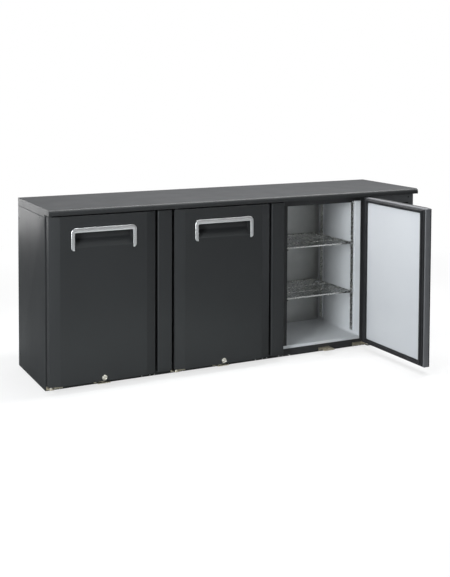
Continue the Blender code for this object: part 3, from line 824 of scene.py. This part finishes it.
def make_doors():
    panel, handle = door_part(1, "panel"), door_part(1, "handle")
    middle = panel.cx
    half = handle.x1 - middle
    leg = 16
    pull = half - leg
    bar = handle.z1 - 20.5
    set_back, flank = 14, 48
    profile_v, profile_u = (18.3, 46), 9
    lock_centre = (middle, 52)

    def skin_of_door(shape):
        plan = (
            (panel.x0, set_back), (panel.x0 + flank, 0.0), (panel.x1 - flank, 0.0),
            (panel.x1, set_back), (panel.x1, panel.y1), (panel.x0, panel.y1),
        )
        prism(shape, rounded(plan, (1, 14, 14, 1, 1.5, 1.5), 8), "z", panel.z)

    def scoop(shape):
        outline = ((-6, -67.5), (-6, 0.5), (4, 0.5), (10, 13.5), (32, 13.5), (34, 7), (33, -31),
                   (0, -67.5))
        outline = rounded(moved(outline, (0, bar)), (0, 0, 0, 5, 4, 4, 14, 0), 5)
        prism(shape, outline, "x", (middle - pull, middle + pull))

    def edge_room(shape):
        """The step all round the foam that the edge profile sits in."""
        profile = ((0, 18), (14.3, 18), (14.3, 50), (0, 50))
        frame_ring(shape, within(panel.x, -5), within(panel.z, -5), profile)

    def edge_profile(shape):
        profile = ((1.2, 18.3), (0, 19.6), (0, 44.4), (0.5, 45.6), (1.6, 46), (9, 46), (9, 18.3))
        frame_ring(shape, panel.x, panel.z, profile)

    def hinge_bar(shape, number, spare=0.0):
        """The length of the edge profile on the hinge side, in black where the rest of the profile is
        grey: painted shade for the dark edge by the hinges. spare widens it, to cut its room.
        """
        way, outer = (1, panel.x0) if number in LEFT_HUNG else (-1, panel.x1)
        u = sorted((outer - way * spare, outer + way * (profile_u + spare)))
        block(shape, u, within(profile_v, -spare), within(panel.z, -spare))

    def lock_bore(shape):
        rod(shape, "y", lock_centre, 10.8, (-3, 24.2), 32)

    def cam_room(shape):
        block(shape, (middle - 9, middle + 34), (21, 30), (30, 61))

    def trim(shape):
        """A silver surround with a ridge, its legs cut to a point at the lower end."""
        steps, foot, corner, inside = 8, 14, 21, 6

        def arc(centre, radius, start, end):
            angles = (start + (end - start) * step / steps for step in range(steps + 1))
            return [Vector(polar(centre, radius, math.radians(angle))) for angle in angles]

        outer = arc((-half + foot, handle.z0 + foot), foot, 262, 180)
        outer += arc((-half + corner, handle.z1 - corner), corner, 180, 90)
        inner = [Vector((-pull, handle.z0 + (foot + 2) * step / steps)) for step in range(steps + 1)]
        inner += arc((-pull + inside, bar - inside), inside, 180, 90)
        stations = list(zip(outer, inner))
        stations += [(Vector((-a.x, a.y)), Vector((-b.x, b.y))) for a, b in reversed(stations)]
        rings = []
        for a, b in stations:
            ridge = -5.8 * min(1.0, (a - b).length / leg)
            section = (
                (a, -GAP), (a, -3.4), (a.lerp(b, 0.07), -4.5), (a.lerp(b, 0.6), ridge),
                (a.lerp(b, 0.66), ridge), (a.lerp(b, 0.94), -4.7), (b, -3.6), (b, -GAP),
            )
            rings.append([Vector((middle + p.x, v, p.y)) for p, v in section])
        skin(shape, rings)

    outer_lips = ((0, 0), (0, 6), (1, 7))
    inner_lips = (
        (-14.4, 7), (-13.8, 8.4), (-14.2, 12.5), (-13.8, 15.2), (-12.6, 16.4), (-6.4, 16.4),
        (-5.2, 15.2), (-4.8, 12.5), (-5.2, 9.4), (-4.6, 8.2), (-3.6, 8.6), (-3, 10.4), (-0.8, 10.4),
        (0, 9.7), (0, 0),
    )

    def seal(shape):
        """The frame rubber: lips set out from its outer edge and from the lining's edge."""
        rings = []
        for edge, lips, gap in ((gasket, outer_lips, 0), (lining, inner_lips, GAP)):
            for inset, v in lips:
                corners = rect(within(edge.x, inset - gap), within(edge.z, inset - gap))
                rings.append([at("y", a, b, gasket.y0 + v) for a, b in corners])
        skin(shape, rings, closed=True)

    def tray(shape):
        edge, corner = 4, 7
        profile = [(0, lining.y0), (0, lining.y1 - edge)]
        profile += [(edge * (1 - math.cos(a)), lining.y1 - edge * (1 - math.sin(a)))
                    for a in sweep(90, 6)[1:]]
        rings = []
        for inset, level in profile:
            corners = rect(within(lining.x, inset), within(lining.z, inset))
            rings.append([at("y", a, b, level) for a, b in rounded(corners, corner - inset, 6)])
        skin(shape, rings)

    def cylinder(shape):
        profile = (
            (10.5, 23.8), (10.5, -0.3), (12.5, -0.3), (12.5, -1.6), (11.9, -2.5), (11, -2.8),
            (9.2, -2.8), (8.6, -2.3), (8.3, -1.6), (8.1, -1.6), (7.8, -2.4), (7.4, -2.7),
        )
        lathe(shape, profile, "y", lock_centre, 0, 48)
        cam = moved(rect((-7, 29), (-5, 5)), lock_centre)
        prism(shape, rounded(cam, (0, 3, 3, 0)), "y", (24.1, 27))

    def keyway(shape):
        wards = ((-4.2, 0.9), (-4.2, -0.9), (-1.2, -0.9), (-1.2, -1.8), (1.8, -1.8), (1.8, -0.9),
                 (4.2, -0.9), (4.2, 0.9))
        prism(shape, moved(wards, lock_centre), "y", (-5, -0.6))

    for number in DOORS:
        door = f"door_{number}"
        axes = door_axes(number)
        gasket, lining = door_part(number, "gasket"), door_part(number, "inner")
        piece(door + "_skin", "paint", skin_of_door, door, axes, 0.8, 3, door + "_panel",
              [scoop, lock_bore, cam_room, edge_room])
        piece(door + "_edge", "edge_grey", edge_profile, door, axes, 0.2, 1,
              carve=[cam_room, lambda shape: hinge_bar(shape, number, GAP)])
        # The hinge-side length in black plastic: painted shade for the dark door edge by the hinges.
        piece(door + "_hinge_edge_shade", "plastic", lambda shape: hinge_bar(shape, number), door, axes, 1)
        piece(door + "_trim", "satin_silver", trim, door, axes, 0.25, replaces=door + "_handle")
        piece(door + "_seal", "rubber", seal, door, axes, replaces=door + "_gasket")
        piece(door + "_lining", "door_gloss", tray, door, axes, replaces=door + "_inner")
        piece(door + "_key_lock", "nickel", cylinder, f"lock_{number}", axes, 0.15,
              replaces=door + "_lock", carve=[keyway])


# ---------------------------------------------------------------- inside the bays


def make_walls():
    for node in ("wall_floor", "wall_ceiling"):
        keep(node, "liner", 0.8)
    for node in ("wall_left", "wall_right"):
        keep(node, "liner", 0.5)
    keep("wall_rear", "stucco", 0.5)

    skin_gap = 3.3
    sides = ((Box("stile_left").x1 + skin_gap, 1), (Box("stile_right").x0 - skin_gap, -1))
    bay_z = (Box("wall_floor").z1, Box("wall_ceiling").z0)
    front, back = Box("worktop").y0, Box("evaporator_box").y1 + GAP
    strip_places = [(face, way, front + y) for face, way in sides for y in (124, 416)]
    clip_rows = [bay_z[0] + 34 + 25.4 * row for row in range(25)]

    def strips(shape):
        for face, way, y in strip_places:
            x = sorted((face + way * 7.1, face + way * 8.2))
            block(shape, x, (y - 11.5, y + 11.5), within(bay_z, 19))

    def strip_slots(shape):
        for face, way, y in strip_places:
            slot_rows(shape, (y - 4, y + 4), clip_rows, 3, "x", (face + way * 5, face + way * 12), 4)

    piece("shelf_strips", "screw_zinc", strips, carve=[strip_slots])

    def coves(shape):
        """Quarter-round fillets along the inner corners."""
        radius = 12
        for face, way in sides:
            for z, up in zip(bay_z, (1, -1)):
                arc = [(face + way * radius * (1 - math.sin(a)), z + up * radius * (1 - math.cos(a)))
                       for a in sweep(90, 6)]
                prism(shape, [(face, z)] + arc, "y", (front + 76, back))

    piece("corner_coves", "liner", coves)

    light = Box("light_bar")
    keep("light_bar", "opal", 2)

    def channel(shape):
        lip, hem, roof = light.z0 - 1.5, light.z1 - 7, light.z1 - GAP
        outer, inner = within(light.y, -2), within(light.y, -0.5)
        outline = (
            (outer[0], light.z1), (outer[0], lip), (inner[0], lip), (inner[0], roof),
            (inner[1], roof), (inner[1], hem), (outer[1], hem), (outer[1], light.z1),
        )
        prism(shape, outline, "x", within(light.x, -2))

    piece("light_channel", "paint_inside", channel)


def make_shelves():
    frame_r, brace_r, wire_r = 3.2, 2.5, 1.7
    wires = 21
    for name in SHELVES:
        shelf = Box(name)
        level, top = shelf.z1 - frame_r - wire_r, shelf.z1 - wire_r
        x, y = within(shelf.x, frame_r), within(shelf.y, frame_r)
        first, last = within(shelf.x, 12)

        def build(shape):
            ring = [(a, b, level) for a, b in rounded(rect(x, y), 14, 5)]
            tube(shape, ring, frame_r, 10, closed=True)
            for share in (1 / 3, 2 / 3):
                middle = shelf.y0 + (shelf.y1 - shelf.y0) * share
                tube(shape, [(end, middle, level) for end in x], brace_r)
            face = rect((shelf.y0, shelf.y0 + 2.6), (shelf.z0, shelf.z1 - 0.4))
            prism(shape, rounded(face, 1.2, 5), "x", within(shelf.x, 8))
            for step in range(wires):
                place = first + (last - first) * step / (wires - 1)
                tube(shape, [(place, shelf.y0 + 1, top), (place, y[1], top)], wire_r, 6)

        piece(name + "_wires", "plated_wire", build, replaces=name)


def fan_blades(shape, centre, hub, tip, y):
    """A hub and five twisted blades about a line along Y."""
    count, thick, root = 5, 1.1, hub * 0.98
    across, out = 8, 7
    depth, middle = y[1] - y[0], (y[0] + y[1]) / 2
    profile = ((0.5, 0), (0.92, 0.04), (1, 0.14), (1, 0.95), (0.94, 1))
    lathe(shape, [(hub * radius, depth * level) for radius, level in profile], "y", centre, y[0])
    for number in range(count):
        rings = []
        for j in range(out + 1):
            share = j / out
            radius = root + (tip - root) * share
            spread = math.radians(28 + 16 * math.sin(math.pi * share * 0.8))
            heading = math.tau * number / count - math.radians(18) * share ** 1.5
            lift = depth * (0.42 - 0.16 * share)
            front, rear = [], []
            for i in range(across + 1):
                t = i / across * 2 - 1
                swell = math.cos(math.pi * t / 2)
                level = middle + lift * t + 0.08 * depth * swell
                half = thick * (0.35 + 0.65 * swell)
                a, b = polar(centre, radius, heading + spread * t)
                front.append(Vector((a, level - half, b)))
                rear.append(Vector((a, level + half, b)))
            rings.append(front + rear[::-1])
        skin(shape, rings)


def spoke(shape, centre, angle, radii, y, thick, sides):
    ends = [polar(centre, radius, angle) for radius in radii]
    tube(shape, [(a, y, b) for a, b in ends], thick, sides)


def make_evaporator():
    box, fan = Box("evaporator_box"), Box("evaporator_fan")
    centre = joint_place("evaporator_fan_spin").xz
    front = box.y0 - 10
    rows = [box.z0 + 16 + 22 * row for row in range(6)]

    def build(shape):
        prism(shape, rounded(rect(box.x, box.z), (12, 12, 1, 1)), "y", box.y)

    def bore(shape):
        rod(shape, "y", centre, 64, (front, box.y0 + 62), 64)

    def slots(shape):
        for side in (box.x0 + 15, box.x1 - 75):
            slot_rows(shape, (side, side + 60), rows, 8, "y", (front, box.y0 + 15))

    piece("evaporator_cover", "white_plastic", build, bevel=1, replaces="evaporator_box",
          carve=[bore, slots])

    def motor(shape):
        profile = ((3, 14), (3, 32), (10, 32.5), (22, 34), (24, 37), (24, 61))
        lathe(shape, profile, "y", centre, box.y0, 36)
        for angle in (90, 210, 330):
            spoke(shape, centre, math.radians(angle), (20, 64.5), box.y0 + 45, 2.2, 8)

    def guard(shape):
        """A wire grille of rings and spokes."""
        radii, wire, y, spokes = (14, 26, 38, 50, 62), 1.1, box.y0 - 0.4, 6
        for radius in radii:
            ring = [(a, y, b) for a, b in circle(centre, radius, 48)]
            tube(shape, ring, wire, 6, closed=True)
        for number in range(spokes):
            spoke(shape, centre, math.tau * number / spokes + 0.3, (radii[0] * 0.9, radii[-1] + 3),
                  y + 2 * wire, wire * 1.2, 6)

    piece("evaporator_motor", "plastic", motor)
    piece("evaporator_guard", "plated_wire", guard)
    piece("evaporator_blades", "resin", lambda shape: fan_blades(shape, centre, 17, 59, fan.y),
          "evaporator_wheel", replaces="evaporator_fan")


# ---------------------------------------------------------------- machine compartment


def make_machine_cover():
    panel, knob = Box("machine_panel"), Box("controller")
    through = (panel.y0 - 10, panel.y0 + 10)
    hole = (panel.x0 + 254, panel.z0 + 766.5)
    slot_length, slot_height, pitch = 42, 6, 22
    columns = [(panel.x0 + 212, panel.z0 + 732.5, 15)]
    columns += [(panel.x0 + 32 + 60 * column, panel.z0 + 336.5, 13) for column in range(3)]

    def build(shape):
        prism(shape, folded_plan(panel, SHEET, 2.5, 1, 6), "z", panel.z)
        for z in ((panel.z0, panel.z0 + SHEET), (panel.z1 - SHEET, panel.z1)):
            block(shape, within(panel.x, SHEET), (panel.y0 + SHEET, panel.y1 - 1), z)

    def openings(shape):
        for low, top, count in columns:
            rows = [top - pitch * row for row in range(count)]
            slot_rows(shape, (low, low + slot_length), rows, slot_height, "y", through)
        block(shape, (knob.x0 + 5, knob.x1 - 7), through, within(knob.z, 4))
        rod(shape, "y", hole, 4.2, through)

    # The cover wears the lighter copy of the paint: painted light where the open door and the worktop
    # cast shade.
    piece("machine_cover", "paint_lit_cover", build, bevel=0.3, segments=1, replaces="machine_panel",
          carve=[openings])

    def screws(shape):
        places = [(hole[0], panel.y0 + 2.4, hole[1])]
        places += [(x, panel.y0, panel.z0 + z) for z in (22, 400) for x in within(panel.x, 14)]
        for place in places:
            screw(shape, place, (0, -1, 0), 3.6)

    piece("machine_cover_screws", "enamel", screws)


def make_controller():
    knob, rocker = Box("controller"), Box("light_switch")
    window_x = (knob.x0 + 9, knob.x0 + 49)

    def case(shape):
        face = Box("machine_panel").y0 - GAP
        prism(shape, rounded(rect(knob.x, knob.z), 3), "y", (knob.y0, face))
        block(shape, (knob.x0 + 6, knob.x1 - 8), (knob.y0 + 1, knob.y1), within(knob.z, 5))

    def openings(shape):
        front = knob.y0 - 10
        block(shape, within(rocker.x, -0.4), (front, knob.y0 + 21), within(knob.z, 7.6))
        block(shape, window_x, (front, knob.y0 + 1), within(knob.z, 9))

    def window(shape):
        outline = rect(within(window_x, 0.3), within(knob.z, 9.3))
        prism(shape, rounded(outline, 1), "y", (knob.y0 + 0.4, knob.y0 + 1))

    def keys(shape):
        square = (-4, 4)
        for x in (56, 67):
            for z in (13, 26):
                outline = moved(rect(square, square), (knob.x0 + x, knob.z0 + z))
                prism(shape, rounded(outline, 2), "y", (knob.y0 - 0.8, knob.y0 + 0.4))

    piece("controller_case", "plastic", case, bevel=0.5, replaces="controller", carve=[openings])
    piece("controller_window", "display", window, bevel=0.2)
    piece("controller_keys", "resin", keys, bevel=0.4)

    pivot = joint_place("light_rocker")
    lean = Matrix.Translation(pivot * MM) @ Matrix.Rotation(math.radians(-6), 4, "X")

    def paddle(shape):
        outline = ((-12, -10.5), (-10, 0), (-12, 10.5), (-2, 9), (4, 0), (-2, -9))
        outline = rounded(outline, (1.2, 20, 1.2, 0.5, 2, 0.5))
        prism(shape, outline, "x", (rocker.x0 - pivot.x, rocker.x1 - pivot.x))

    piece("rocker_paddle", "resin", paddle, "rocker", lean, 0.4, replaces="light_switch")


def bent(points, turns=5):
    """A pipe route with its corners rounded off."""
    points = [Vector(point) for point in points]
    route = points[:1]
    for before, here, after in zip(points, points[1:], points[2:]):
        start, end = here.lerp(before, 0.3), here.lerp(after, 0.3)
        for step in range(turns + 1):
            t = step / turns
            route.append(start.lerp(here, t).lerp(here.lerp(end, t), t))
    return route + points[-1:]


def make_compressor():
    pot, condenser = Box("compressor"), Box("condenser")
    x, y, base = pot.cx, pot.cy, pot.z0
    corners = moved(rect((-58, 58), (-58, 58)), (x, y))

    def shell(shape):
        profile = (
            (60, 19), (72, 22), (80, 30), (85, 44), (87, 60), (87.5, 86), (90, 87.5), (90.5, 89),
            (90.5, 93), (90, 94.5), (87, 96), (86, 112), (84.5, 134), (80, 154), (71, 170), (58, 181),
            (42, 188), (22, 191.5), (4, 192.4),
        )
        lathe(shape, profile, "z", (x, y), base, 56)
        for corner in corners:
            rod(shape, "z", corner, 14, (base + 14, base + 17))
        block(shape, (x - 62, x + 62), (y - 50, y + 50), (base + 15, base + 19))

    def mounts(shape):
        profile = ((13, 0), (14, 2), (11, 5), (14, 8), (11, 11), (12, 14))
        for corner in corners:
            lathe(shape, profile, "z", corner, base, 28)

    def relay(shape):
        block(shape, (pot.x0 + 28, pot.x0 + 86), (y - 101, y - 82), (base + 40, base + 104))

    def pipes(shape):
        riser, top = x - 106, base + 150
        over = (condenser.x0 + 10, condenser.y0 + 20)
        tube(shape, bent([
            (x - 78, y, top), (riser, y, top), (riser, y, top + 120),
            (riser, condenser.y1 + 30, top + 120), (*over, condenser.z1 + 20),
            (*over, condenser.z1 - 4),
        ]), 4, 10)
        tube(shape, bent([
            (x + 40, y + 60, top - 10), (x + 60, y + 84, top), (x + 60, y + 96, top + 200),
            (x - 120, y + 96, top + 240),
        ]), 5, 10)
        drier = ((3, 0), (11, 14), (11, 70), (3, 84))
        lathe(shape, drier, "z", (x + 70, y + 20), top + 130, 24)

    piece("compressor_shell", "enamel", shell, bevel=0.8, replaces="compressor")
    piece("compressor_mounts", "rubber", mounts)
    piece("compressor_relay", "plastic", relay, bevel=2.5, segments=3)
    piece("copper_pipes", "copper", pipes)


def make_condenser():
    core, wheel = Box("condenser"), Box("condenser_fan")
    centre = joint_place("condenser_fan_spin").xz
    base = core.y0
    z = (core.z0 + 28.7, core.z1)
    fin_count, tube_rows, tube_r = 56, 9, 4.2

    def fins(shape):
        first, last = within(core.x, 7)
        for number in range(fin_count):
            x = first + (last - first) * number / (fin_count - 1)
            block(shape, (x - 0.3, x + 0.3), (base, base + 44), z)

    piece("condenser_fins", "fins", fins, replaces="condenser")

    def coil(shape):
        low, high = within(z, 14)
        ends = within(core.x, 1)
        step = (high - low) / (tube_rows - 1) / 2
        for column, y in enumerate((base + 12, base + 32)):
            for row in range(tube_rows):
                level = low + 2 * step * row
                tube(shape, [(x, y, level) for x in ends], tube_r, 10)
                if row < tube_rows - 1:
                    side = (row + column) % 2
                    out = (-1, 1)[side] * min(step, 8)
                    bend = [(ends[side] + out * math.sin(a), y, level + step * (1 - math.cos(a)))
                            for a in sweep(180, 8)]
                    tube(shape, bend, tube_r, 10)

    piece("condenser_coil", "copper", coil)

    def shroud(shape):
        outline = rounded(rect(within(core.x, 2), (z[0] - 6, z[1] - 2)), 6)
        prism(shape, outline, "y", (base + 44.4, base + 46.4))
        for x in (core.x0, core.x1 - 6):
            block(shape, (x, x + 6), (base, base + 66), (core.z0, z[0] - 6.4))

    def mouth(shape):
        rod(shape, "y", centre, 94, (base, base + 70), 64)

    def tunnel(shape):
        profile = ((98, 0), (96, 2), (95, 6), (95, 38), (98, 40), (98.8, 39), (96.2, 36), (96.2, 6),
                   (97.2, 3), (99, 1))
        lathe(shape, profile, "y", centre, base + 46.6, 64, closed=True)

    def motor(shape):
        profile = ((4, 66), (4, 84), (12, 84.5), (30, 87), (34, 92), (34, 128), (30, 134), (12, 137))
        lathe(shape, profile, "y", centre, base, 40)
        for arm in ((-96, -30), (30, 96)):
            block(shape, (centre[0] - 8, centre[0] + 8), (base + 86, base + 89),
                  (centre[1] + arm[0], centre[1] + arm[1]))

    piece("condenser_shroud", "steel", shroud, bevel=0.5, carve=[mouth])
    piece("condenser_tunnel", "steel", tunnel)
    piece("condenser_motor", "enamel", motor, bevel=0.5)
    piece("condenser_blades", "resin", lambda shape: fan_blades(shape, centre, 24, 89, wheel.y),
          "condenser_wheel", replaces="condenser_fan")


def make_inlet():
    inlet = Box("power_inlet")
    floor = inlet.y1 - 16

    def build(shape):
        prism(shape, rounded(rect(inlet.x, inlet.z), 2), "y", inlet.y)

    def mouth(shape):
        x, cut_x, z = within(inlet.x, 3.5), within(inlet.x, 8.5), within(inlet.z, 7)
        outline = ((x[0], z[0]), (x[1], z[0]), (x[1], z[1] - 5), (cut_x[1], z[1]), (cut_x[0], z[1]),
                   (x[0], z[1] - 5))
        prism(shape, rounded(outline, 1, 3), "y", (floor, inlet.y1 + 5))

    def blades(shape):
        for offset in ((-7, -2), (0, 3), (7, -2)):
            x, z = inlet.cx + offset[0], inlet.cz + offset[1]
            block(shape, (x - 1, x + 1), (floor, inlet.y1 - 3), (z - 2, z + 2))

    piece("inlet_socket", "plastic", build, bevel=0.5, replaces="power_inlet", carve=[mouth])
    piece("inlet_blades", "nickel", blades, bevel=0.4)


# ---------------------------------------------------------------- the whole


make_camera()
make_finishes()
make_studio()
make_floor()
make_worktop()
make_sides()
make_back()
make_feet()
make_front_frame()
make_hinges()
make_doors()
make_walls()
make_shelves()
make_evaporator()
make_machine_cover()
make_controller()
make_compressor()
make_condenser()
make_inlet()
